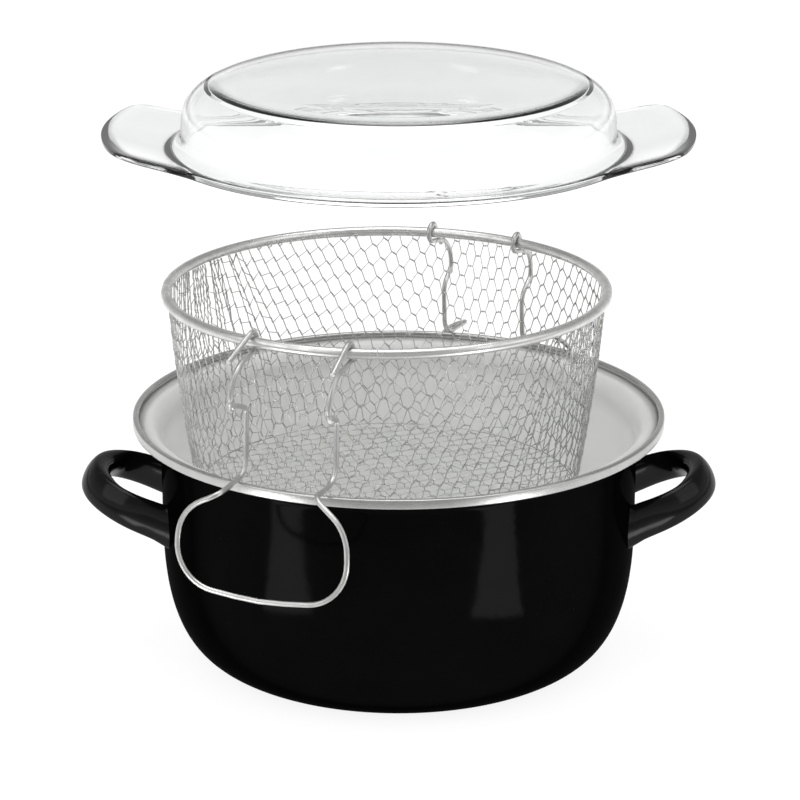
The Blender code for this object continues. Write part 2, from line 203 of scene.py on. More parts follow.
class Finish:
    """A finish and the nodes that give it its detail."""

    def __init__(self, tree):
        self.tree = tree
        self.tree.nodes.clear()

    def node(self, kind, settings=None, inputs=None, output=0):
        made = self.tree.nodes.new(kind)
        for name, value in (settings or {}).items():
            if name == "stops":
                self.set_stops(made.color_ramp, value)
            else:
                setattr(made, name, value)
        for name, value in (inputs or {}).items():
            if isinstance(value, Amount):
                self.tree.links.new(value.socket, made.inputs[name])
            else:
                made.inputs[name].default_value = value
        return Amount(self, made.outputs[output]) if made.outputs else made

    @staticmethod
    def set_stops(ramp, stops):
        while len(ramp.elements) > 1:
            ramp.elements.remove(ramp.elements[-1])
        for index, (position, grey) in enumerate(stops):
            stop = ramp.elements.new(position) if index else ramp.elements[0]
            stop.position = position
            stop.color = (grey, grey, grey, 1)

    def place(self):
        return self.node("ShaderNodeTexCoord", output="Object")

    def coordinate(self, axis, vector=None):
        """X, Y or Z of a vector, or of the place on the piece."""
        return self.node("ShaderNodeSeparateXYZ", {}, {0: vector or self.place()}, axis)

    def rays(self, kind):
        """1 for rays of a kind, as Light Path names them."""
        return self.node("ShaderNodeLightPath", output=f"Is {kind} Ray")

    def seen_edge_on(self):
        return self.node("ShaderNodeLayerWeight", {}, {"Blend": 0.5}, "Facing")

    def noise(self, scale, detail, place=None, roughness=0.5):
        return self.node("ShaderNodeTexNoise", {}, {
            "Vector": place or self.place(), "Scale": scale, "Detail": detail,
            "Roughness": roughness})

    def spread(self, amount, low, high, new_low=0.0, new_high=1.0):
        return self.node("ShaderNodeMapRange", {}, {
            "Value": amount, "From Min": low, "From Max": high,
            "To Min": new_low, "To Max": new_high})

    def blend(self, share, first, second):
        return self.node("ShaderNodeMix", {"data_type": "RGBA"},
                         {0: share, 6: first, 7: second}, output=2)

    def bump(self, height, distance, strength):
        return self.node("ShaderNodeBump", {}, {
            "Height": height, "Distance": distance, "Strength": strength})

    def finish_with(self, inputs):
        shader = self.node("ShaderNodeBsdfPrincipled", {}, inputs)
        self.node("ShaderNodeOutputMaterial", {}, {"Surface": shader})


def new_finish(name):
    made = bpy.data.materials.new(name)
    made.use_nodes = True
    return made, Finish(made.node_tree)


def enamel(name, low, high, gloss, dust, shine, painted_light_colour=None, dim_edge=0.0):
    """Vitreous enamel: an even coat with faint waves, fine pits and a little dust. Low in
    the pot it can have a paler colour, painted light that stands in for light its inside
    lacks. It can lose its gloss where it is seen edge on, as it does in dark
    surroundings."""
    made, finish = new_finish(name)
    waves = finish.noise(90, 2)
    pits = finish.noise(2600, 2)
    bloom = finish.noise(26, 4, roughness=0.6)
    colour = finish.blend(finish.spread(bloom, 0.35, 0.65), (*low, 1), (*high, 1))
    # painted light: low in the pot the colour turns paler, standing in for light that the
    # pot's inside lacks
    if painted_light_colour:
        above_painted_light = finish.spread(finish.coordinate("Z"), painted_light_bottom, painted_light_top)
        colour = finish.blend(above_painted_light, (*painted_light_colour, 1), colour)
    specks = finish.spread(finish.noise(1500, 1), 0.74, 0.80)
    colour = finish.blend(specks * dust, colour, (0.42, 0.41, 0.39, 1))
    roughness = finish.spread(bloom, 0.3, 0.7, gloss * 0.8, gloss * 1.5) \
        + finish.spread(pits, 0.55, 0.8, 0, 0.05)
    coat = finish.node("ShaderNodeBsdfPrincipled", {}, {
        "Base Color": colour, "Roughness": roughness, "Specular IOR Level": shine,
        "Normal": finish.bump(waves * 0.7 + pits * 0.06, distance=0.0004, strength=0.30)})
    if dim_edge:
        plain = finish.node("ShaderNodeBsdfPrincipled", {}, {
            "Base Color": colour, "Roughness": roughness, "Specular IOR Level": 0.0})
        coat = finish.node("ShaderNodeMixShader", {}, {
            0: finish.spread(finish.seen_edge_on(), 0.08, 0.55) * dim_edge,
            1: coat, 2: plain})
    finish.node("ShaderNodeOutputMaterial", {}, {"Surface": coat})
    return made


def round_the_axis(finish, along, across):
    """Coordinates that run round the Z axis, for marks left by turning and rolling."""
    x, y, z = (finish.coordinate(axis) for axis in "XYZ")
    distance = x.with_math("SQRT", x * x + y * y)
    turned = x.with_math("ARCTAN2", y, x)
    return finish.node("ShaderNodeCombineXYZ", {}, {
        0: distance * across, 1: turned * along, 2: z * across})


def rolled_steel(name):
    """The rim band: bright strip, faintly scratched round the rim."""
    made, finish = new_finish(name)
    lines = finish.noise(1, 4, round_the_axis(finish, along=9, across=5200), 0.7)
    cloud = finish.noise(45, 3)
    colour = finish.blend(finish.spread(cloud, 0.35, 0.65), (0.48, 0.48, 0.472, 1),
                          (0.56, 0.56, 0.55, 1))
    colour = finish.blend(finish.spread(lines, 0.6, 0.8) * 0.4, colour,
                          (0.36, 0.355, 0.35, 1))
    finish.finish_with({
        "Base Color": colour, "Metallic": 1.0,
        "Roughness": finish.spread(lines, 0.3, 0.7, 0.20, 0.36),
        "Normal": finish.bump(lines, distance=0.00006, strength=0.5)})
    return made


def drawn_wire(name, pale, dull, gloss):
    """Plated wire: bright, with dull patches and fine drawing marks."""
    made, finish = new_finish(name)
    patches = finish.noise(120, 4, roughness=0.6)
    marks = finish.noise(2400, 3)
    colour = finish.blend(finish.spread(patches, 0.40, 0.68), (*pale, 1), (*dull, 1))
    finish.finish_with({
        "Base Color": colour, "Metallic": 1.0,
        "Roughness": finish.spread(patches, 0.3, 0.7, gloss * 0.8, gloss * 1.4)
        + finish.spread(marks, 0.4, 0.7, 0, 0.06),
        "Normal": finish.bump(marks, distance=0.00004, strength=0.4)})
    return made


def pressed_glass(name):
    """Clear glass from a mould: slow waves, and a trace of handling marks. Its colour is
    painted
    darker where it is seen edge on: painted shade for the dark edges the glass shows."""
    made, finish = new_finish(name)
    waves = finish.noise(34, 2)
    smears = finish.noise(60, 4, roughness=0.65)
    colour = finish.blend(finish.spread(smears, 0.4, 0.7), (0.975, 0.985, 0.98, 1),
                          (0.955, 0.97, 0.965, 1))
    # painted shade: the colour turns dark grey where the glass is seen edge on
    painted_dark_edge = finish.spread(finish.seen_edge_on(), 0.85, 0.96)
    colour = finish.blend(painted_dark_edge, colour, (0.16, 0.16, 0.16, 1))
    finish.finish_with({
        "Base Color": colour, "Transmission Weight": 1.0, "IOR": 1.47,
        "Roughness": finish.spread(smears, 0.55, 0.8, 0.0, 0.05),
        "Normal": finish.bump(waves, distance=0.0002, strength=0.10)})
    return made


black_enamel = enamel("black_enamel", low=(0.0007, 0.0007, 0.0008),
                      high=(0.0013, 0.0013, 0.0014), gloss=0.09, dust=0.02, shine=0.032,
                      dim_edge=0.97)
strap_enamel = enamel("strap_enamel", low=(0.0025, 0.0025, 0.0027),
                      high=(0.0045, 0.0045, 0.0048), gloss=0.12, dust=0.05, shine=0.20,
                      dim_edge=0.5)
# its paler colour low in the pot is painted light, standing in for light the inside lacks
grey_enamel = enamel("grey_enamel", low=(0.54, 0.54, 0.535), high=(0.58, 0.58, 0.575),
                     gloss=0.16, dust=0.0, shine=0.35, painted_light_colour=(0.86, 0.86, 0.85))
band_steel = rolled_steel("band_steel")
bead_steel = drawn_wire("bead_steel", pale=(0.74, 0.74, 0.73),
                        dull=(0.62, 0.615, 0.605), gloss=0.26)
handle_steel = drawn_wire("handle_steel", pale=(0.60, 0.60, 0.59),
                          dull=(0.48, 0.475, 0.465), gloss=0.30)
net_steel = drawn_wire("net_steel", pale=(0.60, 0.60, 0.59),
                       dull=(0.46, 0.455, 0.445), gloss=0.15)
clear_glass = pressed_glass("clear_glass")


# ---------------------------------------------------------------- shaping

def add_piece(name, mesh, body, slot, finishes, *nodes):
    mesh.name = name
    piece = bpy.data.objects.new(name, mesh)
    bpy.context.scene.collection.objects.link(piece)
    for finish in finishes:
        mesh.materials.append(finish)
    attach(piece, body)
    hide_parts(*nodes)
    return piece


def mesh_from(bm):
    mesh = bpy.data.meshes.new("piece")
    bm.to_mesh(mesh)
    bm.free()
    return mesh


def shade(mesh, degrees=40):
    mesh.shade_smooth()
    mesh.set_sharp_from_angle(angle=math.radians(degrees))
    return mesh


def spun(profile, steps):
    """A bmesh made by a line through (distance from Z, height), spun once round Z."""
    bm = bmesh.new()
    spots = [bm.verts.new((out, 0, up)) for out, up in profile]
    for start, end in zip(spots, spots[1:]):
        bm.edges.new((start, end))
    bmesh.ops.spin(bm, geom=list(bm.verts) + list(bm.edges), cent=(0, 0, 0),
                   axis=(0, 0, 1), angle=2 * math.pi, steps=steps, use_merge=True)
    bmesh.ops.remove_doubles(bm, verts=bm.verts, dist=weld)
    return bm


def wound_outward(bm, probe):
    """Turn the faces so that the one nearest to the probe looks towards it."""
    bm.normal_update()
    nearest = min(bm.faces, key=lambda face: (face.calc_center_median() - probe).length)
    if nearest.normal.dot(probe - nearest.calc_center_median()) < 0:
        bmesh.ops.reverse_faces(bm, faces=bm.faces)
    return bm


def thicken(piece, thickness, inner_finish=0):
    """Give a sheet its thickness, inwards from its faces."""
    shell = piece.modifiers.new("sheet", "SOLIDIFY")
    shell.thickness = thickness
    shell.offset = -1
    shell.use_even_offset = True
    shell.material_offset = inner_finish
    shell.material_offset_rim = inner_finish


def shares(steps, first=0):
    """Even shares of a whole, from first / steps up to 1."""
    return [step / steps for step in range(first, steps + 1)]


def quarter_point(share, width, height, power):
    """On a quarter of a superellipse, from (width, 0) at 0 to (0, height) at 1."""
    angle = share * math.pi / 2
    return (width * max(math.cos(angle), 0) ** (2 / power),
            height * max(math.sin(angle), 0) ** (2 / power))


def rounded(corners):
    """A line through (point, bend radius) pairs with its corners rounded to arcs."""
    points = []
    for index, (corner, bend) in enumerate(corners):
        if not bend:
            points.append(corner)
            continue
        back = (corners[index - 1][0] - corner).normalized()
        ahead = (corners[index + 1][0] - corner).normalized()
        half = back.angle(ahead) / 2
        centre = corner + (back + ahead).normalized() * bend / math.sin(half)
        start = corner + back * bend / math.tan(half) - centre
        end = corner + ahead * bend / math.tan(half) - centre
        swept = start.angle(end)
        steps = max(math.ceil(swept / bend_step), 1)
        for share in shares(steps):
            points.append(centre + (start * math.sin((1 - share) * swept)
                                    + end * math.sin(share * swept)) / math.sin(swept))
    return points


def poly_curve(lines, closed=False):
    curve = bpy.data.curves.new("line", "CURVE")
    curve.dimensions = "3D"
    for points in lines:
        line = curve.splines.new("POLY")
        line.points.add(len(points) - 1)
        for spot, place in zip(line.points, points):
            spot.co = (*place, 1)
        line.use_cyclic_u = closed
    return curve


def mesh_of(curve, place=Matrix.Identity(4)):
    """A curve made a mesh, welded and put in its place."""
    holder = bpy.data.objects.new("line", curve)
    bpy.context.scene.collection.objects.link(holder)
    bpy.context.view_layer.update()
    evaluated = holder.evaluated_get(bpy.context.evaluated_depsgraph_get())
    mesh = bpy.data.meshes.new_from_object(evaluated)
    mesh.materials.clear()
    bpy.data.objects.remove(holder)
    bm = bmesh.new()
    bm.from_mesh(mesh)
    bmesh.ops.remove_doubles(bm, verts=bm.verts, dist=weld)
    bmesh.ops.recalc_face_normals(bm, faces=bm.faces)
    bmesh.ops.transform(bm, matrix=place, verts=bm.verts)
    bm.to_mesh(mesh)
    bm.free()
    return mesh


def wire_mesh(lines, radius, fineness, place=Matrix.Identity(4)):
    curve = poly_curve(lines)
    curve.bevel_depth = radius
    curve.bevel_resolution = fineness
    curve.use_fill_caps = True
    return mesh_of(curve, place)


# ---------------------------------------------------------------- pot

def pot_profile():
    """Outside of the pot, from the edge of its lip down to the middle of its foot."""
    flare_start = (pot_height - lip_bend_drop - flare_rise
                   - flare_radius * math.sin(flare_angle))
    bend_centre = body_radius + flare_radius
    points = [(lip_radius, pot_height - band_sheet - fit_gap),
              (lip_radius, pot_height - lip_bend_drop + lip_bend_radius)]
    for share in shares(5, 1):
        angle = share * (math.pi / 2 - flare_angle * 0.5)
        points.append((lip_radius - lip_bend_radius * (1 - math.cos(angle)),
                       pot_height - lip_bend_drop
                       + lip_bend_radius * (1 - math.sin(angle))))
    for share in shares(12):
        angle = flare_angle * (1 - share)
        points.append((bend_centre - flare_radius * math.cos(angle),
                       flare_start + flare_radius * math.sin(angle)))
    for share in shares(6, 1)[:-1]:
        points.append((body_radius, flare_start + (corner_height - flare_start) * share))
    for share in shares(32):
        out, down = quarter_point(share, corner_width, corner_height, corner_power)
        points.append((body_radius - corner_width + out, corner_height - down))
    foot = body_radius - corner_width
    points += [(foot * 0.75, 0), (foot * 0.4, 0), (0, 0)]
    return points


def make_pot():
    bm = wound_outward(spun(pot_profile(), steps=160), probe=Vector((0.2, 0, 0.09)))
    pot = add_piece("enamelled_pot", shade(mesh_from(bm)), "pot", "black_enamel",
                    [black_enamel, grey_enamel], "pot_shell")
    thicken(pot, pot_sheet, inner_finish=1)


def make_rim_band():
    """A strip bent over the lip: its outer leg, its flat top and its short inner leg."""
    outer = lip_radius + fit_gap + band_sheet
    inner = lip_radius - pot_sheet - fit_gap - band_sheet
    bend = band_bend_radius
    profile = [(outer - band_edge_turn, pot_height - band_outer_leg),
               (outer, pot_height - band_outer_leg + band_edge_height)]
    for share in shares(6):
        angle = share * math.pi / 2
        profile.append((outer - bend * (1 - math.cos(angle)),
                        pot_height - bend * (1 - math.sin(angle))))
    for share in shares(6):
        angle = (1 - share) * math.pi / 2
        profile.append((inner + bend * (1 - math.cos(angle)),
                        pot_height - bend * (1 - math.sin(angle))))
    profile.append((inner, pot_height - band_shown_inner_leg))
    bm = wound_outward(spun(profile, steps=192), probe=Vector((0.2, 0, pot_height - 0.002)))
    band = add_piece("steel_rim_band", shade(mesh_from(bm), degrees=60), "pot",
                     "band_steel", [band_steel], "rim_band")
    thicken(band, band_sheet)


def strap_line():
    """Middle line of a strap in its own plane: from the wall out, round and back."""
    straight = strap_length - strap_bend_length
    side = [(-strap_root_depth, strap_half_span, 0)]
    side += [(strap_wall_start + (straight - strap_wall_start) * share,
              strap_half_span, 0) for share in shares(5)]
    for share in shares(28, 1):
        across, out = quarter_point(share, strap_half_span, strap_bend_length,
                                    strap_bend_power)
        side.append((straight + out, across, 0))
    return side + [(out, -across, 0) for out, across, _ in reversed(side[:-1])]


def make_strap(name, node, heading):
    """A strap handle: an oval bar bent to a bow and welded to the wall by its ends."""
    oval = [(math.cos(turn) * strap_thickness / 2, math.sin(turn) * strap_height / 2, 0)
            for turn in (-2 * math.pi * share for share in shares(28)[:-1])]
    section = bpy.data.objects.new("strap_section", poly_curve([oval], closed=True))
    bpy.context.scene.collection.objects.link(section)
    curve = poly_curve([strap_line()])
    curve.twist_mode = "Z_UP"
    curve.bevel_mode = "OBJECT"
    curve.bevel_object = section
    curve.use_fill_caps = True
    for spot in curve.splines[0].points:
        outward = max(spot.co.x / strap_length, 0)
        weld_share = max(1 - spot.co.x / strap_weld_reach, 0) ** 2
        spot.radius = (strap_root_share + (1 - strap_root_share) * outward
                       + weld_share * strap_weld_swell)
        spot.tilt = strap_lean
    mesh = mesh_of(curve)
    bpy.data.objects.remove(section)
    root = math.sqrt(body_radius ** 2 - strap_half_span ** 2)
    out_of_wall = Vector((math.cos(strap_rise), 0, math.sin(strap_rise)))
    place = (Matrix.Translation((root, 0, strap_root_height))
             @ Matrix.Rotation(-strap_rise, 4, "Y"))
    bm = bmesh.new()
    bm.from_mesh(mesh)
    ends = [corner for corner in bm.verts if corner.co.x < strap_trim_reach]
    straight = strap_length - strap_bend_length
    for corner in bm.verts:            # thicker inwards at the bow's end
        share = min(max(corner.co.x / strap_length - strap_extra_start, 0)
                    / strap_extra_ease, 1)
        inside = 1 - (abs(corner.co.y) / strap_half_span) ** strap_bend_power \
            - (max(corner.co.x - straight, 0) / strap_bend_length) ** strap_bend_power
        corner.co.x -= strap_end_extra * share * share * (3 - 2 * share) \
            * min(max(inside / strap_extra_edge, 0), 1)
    bmesh.ops.transform(bm, matrix=place, verts=bm.verts)
    within_wall = body_radius - pot_sheet / 2
    for corner in ends:                # trimmed to the wall's curve
        corner.co += out_of_wall * ((math.sqrt(within_wall ** 2 - corner.co.y ** 2)
                                     - corner.co.x) / out_of_wall.x)
    bmesh.ops.transform(bm, matrix=Matrix.Rotation(heading, 4, "Z"), verts=bm.verts)
    bmesh.ops.recalc_face_normals(bm, faces=bm.faces)
    bm.to_mesh(mesh)
    bm.free()
    add_piece(name, shade(mesh), "pot", "black_enamel", [strap_enamel], node)


# ---------------------------------------------------------------- basket

def ring(radius, section, sides, steps, height, gap=0.0, azimuth=0.0):
    """A wire ring about the basket's axis, cut at an azimuth if it has a gap."""
    bm = bmesh.new()
    made = bmesh.ops.create_circle(bm, cap_ends=bool(gap), segments=sides, radius=section)
    spin_faces = list(bm.faces)
    turn_up = Matrix.Rotation(math.pi / 2, 4, "X")
    bmesh.ops.transform(bm, matrix=Matrix.Translation((radius, 0, 0)) @ turn_up,
                        verts=made["verts"])
    if gap:
        bmesh.ops.spin(bm, geom=spin_faces + list(bm.edges) + list(bm.verts),
                       cent=(0, 0, 0), axis=(0, 0, 1), angle=2 * math.pi - gap / radius,
                       steps=steps, use_duplicate=False)
    else:
        bmesh.ops.spin(bm, geom=list(bm.edges) + list(bm.verts), cent=(0, 0, 0),
                       axis=(0, 0, 1), angle=2 * math.pi, steps=steps, use_merge=True)
    bmesh.ops.remove_doubles(bm, verts=bm.verts, dist=weld)
    bmesh.ops.recalc_face_normals(bm, faces=bm.faces)
    place = (Matrix.Translation(basket_centre + Vector((0, 0, height)))
             @ Matrix.Rotation(azimuth + gap / radius / 2, 4, "Z"))
    bmesh.ops.transform(bm, matrix=place, verts=bm.verts)
    return shade(mesh_from(bm))


def make_basket_rings():
    bead = ring(basket_radius, bead_radius, sides=18, steps=240, height=0,
                gap=bead_joint_gap, azimuth=bead_joint_azimuth)
    add_piece("rim_bead", bead, "basket", "wire_steel", [bead_steel], "basket_rim")
    base = ring(basket_base_radius, base_ring_radius, sides=10, steps=180,
                height=-basket_depth)
    add_piece("base_ring", base, "basket", "wire_steel", [net_steel], "basket_base_ring")


def wall_radius(depth):
    """Distance of the basket's wall from its axis, at a depth below the bead's middle."""
    top = basket_radius - wall_inset
    return top - (top - basket_base_radius) * (max(depth, 0) / basket_depth) \
        ** wall_taper_power


net_floor_edge = wall_radius(basket_depth - net_corner) - net_corner
net_wall_start = net_floor_edge + net_corner * math.pi / 2
wall_stretch = 1.008           # the wall's slope makes it this much longer than deep
net_top = net_wall_start + (basket_depth - net_corner) * wall_stretch


def on_basket(run):
    """(radius, depth) at a distance along the netting from the middle of the floor."""
    if run < net_floor_edge:
        return run, basket_depth
    if run < net_wall_start:
        turned = (run - net_floor_edge) / net_corner
        return (net_floor_edge + net_corner * math.sin(turned),
                basket_depth - net_corner * (1 - math.cos(turned)))
    depth = basket_depth - net_corner - (run - net_wall_start) / wall_stretch
    return wall_radius(depth), depth


def turn_between(start, end):
    """The shorter way round from one [run, turn] to another."""
    return (end[1] - start[1] + math.pi) % (2 * math.pi) - math.pi


def first_place(across, along):
    """Where a point of the flat sheet comes to lie: its run from the floor's middle and
    its turn from the sheet's axis. The mesh gives way sideways and lengthens uphill."""
    reach = math.hypot(across, along)
    turn = math.atan2(across, along)
    run = min(reach, net_floor_edge)
    side_across = net_pitch / 2 - net_twist
    stiff_across = net_twist ** 2 + 2 * side_across ** 2
    stiff_along = 2 * net_row ** 2
    lean = math.cos(turn) ** 2
    swept = run
    while swept < reach:
        step = min(net_laying_step, reach - swept)
        hoop = on_basket(run)[0] / swept
        uphill = ((stiff_across + stiff_along
                   - hoop ** 2 * (stiff_across * lean + stiff_along * (1 - lean)))
                  / (stiff_across * (1 - lean) + stiff_along * lean))
        run += step * math.sqrt(max(uphill, net_least_give))
        swept += step
        if run > net_top + net_spare:
            return None
    rise = max(run - net_floor_edge, 0) / (net_top - net_floor_edge)
    turn += (net_lean[0] * math.sin(2 * turn) + net_lean[1] * math.sin(4 * turn)
             + net_lean[2] * math.sin(6 * turn)) * rise ** net_lean_power
    return [run, turn]


def next_twist(column, row):
    """Column of the twist to the right of this one, in the rows above and below."""
    return column + row % 2


def lay_netting():
    """Ends of every twist as [run, turn], let settle until each side has its length."""
    ends = {}
    rows = int(net_blank / net_row)
    columns = int(net_blank / net_pitch)
    for row in range(-rows, rows + 1):
        for column in range(-columns, columns + 1):
            middle = (column + row % 2 / 2) * net_pitch
            for end in (-1, 1):
                place = first_place(middle + end * net_twist / 2, row * net_row)
                if place:
                    ends[column, row, end] = place
    side_length = math.hypot(net_pitch / 2 - net_twist, net_row)
    sides = []
    for column, row, end in ends:
        if end < 0:
            if (column, row, 1) in ends:
                sides.append((ends[column, row, -1], ends[column, row, 1], net_twist))
            continue
        for near in (row - 1, row + 1):
            other = (next_twist(column, row), near, -1)
            if other in ends:
                sides.append((ends[column, row, 1], ends[other], side_length))
    held = {id(place) for place in ends.values()
            if place[0] < net_floor_edge - net_held_margin}
    radius_at = [on_basket(step * net_table_step)[0] for step in range(net_table_length)]
    for _ in range(net_settling_rounds):
        for start, end, length in sides:
            radius = radius_at[int((start[0] + end[0]) / 2 / net_table_step)]
            uphill = end[0] - start[0]
            sideways = turn_between(start, end) * radius
            apart = math.hypot(uphill, sideways)
            give = (apart - length) / apart / 2
            if id(start) in held or id(end) in held:
                give *= 2
            if id(start) not in held:
                start[0] += give * uphill
                start[1] += give * sideways / radius
            if id(end) not in held:
                end[0] -= give * uphill
                end[1] -= give * sideways / radius
    return ends


def net_point(run, turn, out):
    """A place on the netting's surface, or standing out of it."""
    radius, depth = on_basket(run)
    ahead_radius, ahead_depth = on_basket(run + net_slope_step)
    slope = Vector((ahead_radius - radius, ahead_depth - depth)).normalized()
    azimuth = net_axis - turn
    radius += out * -slope.y
    depth += out * slope.x
    return basket_centre + Vector((radius * math.cos(azimuth), radius * math.sin(azimuth),
                                   -depth))


def between(start, end, share):
    return [start[0] + (end[0] - start[0]) * share,
            start[1] + turn_between(start, end) * share]


def at_edge(inside, outside, edge):
    """Where a wire goes in under the bead."""
    share = (edge - inside[0]) / (outside[0] - inside[0])
    run, turn = between(inside, outside, share)
    return run, turn, 0.0


def strand_pieces(ends, row):
    """Points of the wire that winds between this row of twists and the next one up: each
    is (run, turn, out). A wire winds once round its neighbour at every twist."""
    columns = sorted(column for column, at, end in ends if at == row and end < 0)
    points = []
    runs = []

    def twist(column, at, side):
        start, end = ends.get((column, at, -1)), ends.get((column, at, 1))
        if not start or not end:
            if points:
                runs.append(list(points))
                points.clear()
            return
        uphill = end[0] - start[0]
        radius = max(on_basket((start[0] + end[0]) / 2)[0], net_least_radius)
        sideways = turn_between(start, end) * radius
        length = math.hypot(uphill, sideways) or 1
        # a step square to the twist, on the surface
        square_run, square_turn = -sideways / length, uphill / length / radius
        for share in shares(4):
            wound = 2 * math.pi * share
            run, turn = between(start, end, net_straight_share
                                + (1 - 2 * net_straight_share) * share)
            off = side * net_wire / 2 * math.cos(wound)
            points.append((run + square_run * off, turn + square_turn * off,
                           side * net_wire / 2 * math.sin(wound)))

    for column in range(min(columns) - 1, max(columns) + 2) if columns else ():
        twist(column, row, 1)
        twist(next_twist(column, row), row + 1, -1)
    if points:
        runs.append(list(points))
    return runs


def cut_strand(strand, edge):
    """A wire cut into (part, points) at the bead and where wall and floor meet."""
    cut, piece, current, last = [], [], None, None
    for spot in strand + [None]:
        part = None
        if spot and spot[0] < edge:
            on_wall = spot[0] > net_floor_edge + net_corner * net_part_share
            part = "wall" if on_wall else "floor"
        if part != current:
            if spot and last:      # up into the bead, or on into the other piece
                meeting = spot if part and current else at_edge(last, spot, edge)
                if current:
                    piece.append(meeting)
                if len(piece) > 1:
                    cut.append((current, piece))
                piece = [] if part and current else [meeting]
            elif len(piece) > 1:
                cut.append((current, piece))
                piece = []
            current = part
        if part:
            piece.append(spot)
        last = spot
    return cut


def make_netting():
    ends = lay_netting()
    rows = sorted({row for _, row, _ in ends})
    lines = {"wall": [], "floor": []}
    for row in rows[:-1]:
        for strand in strand_pieces(ends, row):
            for part, piece in cut_strand(strand, net_top - bead_radius):
                lines[part].append([net_point(*spot) for spot in piece])
    for part in lines:
        mesh = wire_mesh(lines[part], net_wire / 2, fineness=1)
        mesh.shade_smooth()
        add_piece("netting_" + part, mesh, "basket", "wire_steel", [net_steel],
                  "basket_" + part)


def handle_line(splay, tail, kink, uneven, bulge=0.0):
    """Middle line of a wire handle in its hinge's space: X along the hinge line, Y out
    from the basket. Each half runs from its tail round the eye and down to the grip. tail
    is (reach, fall) of the tails' tips, kink (fall, bend radius) of the legs' kinks. One
    side has its tail bent aside by splay and its leg by bulge, and the other side's hook
    is uneven: (shorter, higher)."""

    def grip(across, down):
        return Vector((across, hook_reach + down * math.cos(grip_slope),
                       -hook_drop - down * math.sin(grip_slope)))

    def flat(out, up, aside=0.0):
        return Vector((eye_half_spacing + aside, out, up))

    def tail_and_eye(splay):
        points = []
        for share in shares(20):
            angle = tail_leave + (leg_leave - tail_leave) * share
            points.append(flat(eye_radius * math.cos(angle), eye_radius * math.sin(angle),
                               splay * tail_bend_share * (1 - share) ** 2))
        tip = flat(tail[0], -tail[1], splay)
        bend = points[0].lerp(tip, tail_bend_share) + Vector((0, 0, tail_bend_rise))
        return [tip, bend] + points

    def leg(shorter, higher, bulge=0.0):
        nose_aside = bulge * nose_bulge_share - leg_inset * nose_inset_share
        chin_aside = bulge - leg_inset * chin_inset_share
        return [(flat(nose_out, -nose_drop, nose_aside), nose_bend),
                (flat(chin_out, -chin_drop, chin_aside), chin_bend),
                (flat(kink_out, -kink[0], -leg_inset), kink[1]),
                (flat(leg_foot_out, -hook_drop + higher, -leg_inset), leg_foot_bend),
                (flat(hook_reach - shorter, -hook_drop + higher, -leg_inset), hook_bend),
                (grip(grip_half_width * grip_shoulder_width_share,
                      grip_length * grip_shoulder_share), shoulder_bend),
                (grip(grip_half_width, grip_length * grip_foot_share), foot_bend)]

    def mirrored(point):
        return Vector((-point.x, point.y, point.z))

    first = tail_and_eye(splay)
    last = [mirrored(spot) for spot in reversed(tail_and_eye(0))]
    corners = [(first[-1], 0)] + leg(0, 0, bulge) + [(grip(0, grip_length), grip_bend)]
    corners += [(mirrored(spot), bend) for spot, bend in reversed(leg(*uneven))]
    return first[:-1] + rounded(corners + [(last[0], 0)]) + last[1:]


def make_wire_handle(name, node, body, azimuth, line):
    place = (Matrix.Translation(basket_centre + hinge_distance
                                * Vector((math.cos(azimuth), math.sin(azimuth), 0)))
             @ Matrix.Rotation(azimuth - math.pi / 2, 4, "Z"))
    mesh = shade(wire_mesh([line], wire_radius, fineness=4, place=place))
    add_piece(name, mesh, body, "wire_steel", [handle_steel], node)


# ---------------------------------------------------------------- lid

def lid_profile():
    """Section of the lid, from the middle of its top out over the dome and the flange,
    round the edge and back underneath. A shallow hollow runs round under the shoulder,
    and a step round under the flange."""
    upper, lower = [], []
    dome = dome_radius, dome_height - dome_foot_height, dome_power
    for step in range(dome_steps + 1):
        out, up = quarter_point(1 - step / dome_steps, *dome)
        if step % dome_coarse_step and not shoulder_zone[0] < out < shoulder_zone[1]:
            continue
        ahead, above = quarter_point(1 - (step + 0.01) / dome_steps, *dome)
        along = Vector((ahead - out, above - up)).normalized()
        height = dome_foot_height + up
        if height < foot_centre_height:
            break
        upper.append((out, height))
        out = max(out + along.y * lid_glass, 0)
        lower.append((out, height - along.x * lid_glass + shoulder_hollow(out)))
    foot = Vector((dome_radius + foot_bend_radius, foot_centre_height))
    for share in shares(10):
        turned = math.pi + (math.pi / 2 - flange_slope) * share
        towards = Vector((math.cos(turned), math.sin(turned)))
        upper.append(tuple(foot + towards * foot_bend_radius))
        lower.append(tuple(foot + towards * (foot_bend_radius + lid_glass)))
    top, soft = flange_top, flange_soft_edge
    ear_start_height = top + ear_start_rise
    upper.append((ear_start, ear_start_height))
    for share in shares(8, 1):
        upper.append((ear_start + (lid_radius - soft - ear_start) * share,
                      ear_start_height + (top - ear_start_height) * share))
    rim = [(lid_radius - soft + soft * math.sin(angle), top - soft + soft * math.cos(angle))
           for angle in (math.radians(30), math.radians(60), math.radians(90))]
    rim += [(out, flange_step + top - height) for out, height in reversed(rim)]
    lower.append((ear_start - flange_step_width, 0))
    lower.append((ear_start - flange_step_width / 2, flange_step_soft))
    lower.append((ear_start, flange_step))
    for share in shares(8, 1):
        lower.append((ear_start + (lid_radius - soft - ear_start) * share, flange_step))
    return upper + rim + lower[::-1]


def shoulder_hollow(out):
    """How much thinner the dome is, where a hollow runs round under its shoulder."""
    rise = max((out - hollow_start) / hollow_rise_width, 0)
    fall = (hollow_end - out) / hollow_fall_width
    return hollow_depth * max(min(rise ** 2, 1, fall), 0)


def ear_reach_at(azimuth):
    """Distance of the lid's edge from its axis, the two ears included."""
    side = ear_half_width / max(abs(math.sin(azimuth)), 0.00001)
    ear = (ear_reach ** -ear_corner_power + side ** -ear_corner_power) \
        ** (-1 / ear_corner_power)
    return (ear ** ear_root_power + lid_radius ** ear_root_power) ** (1 / ear_root_power)


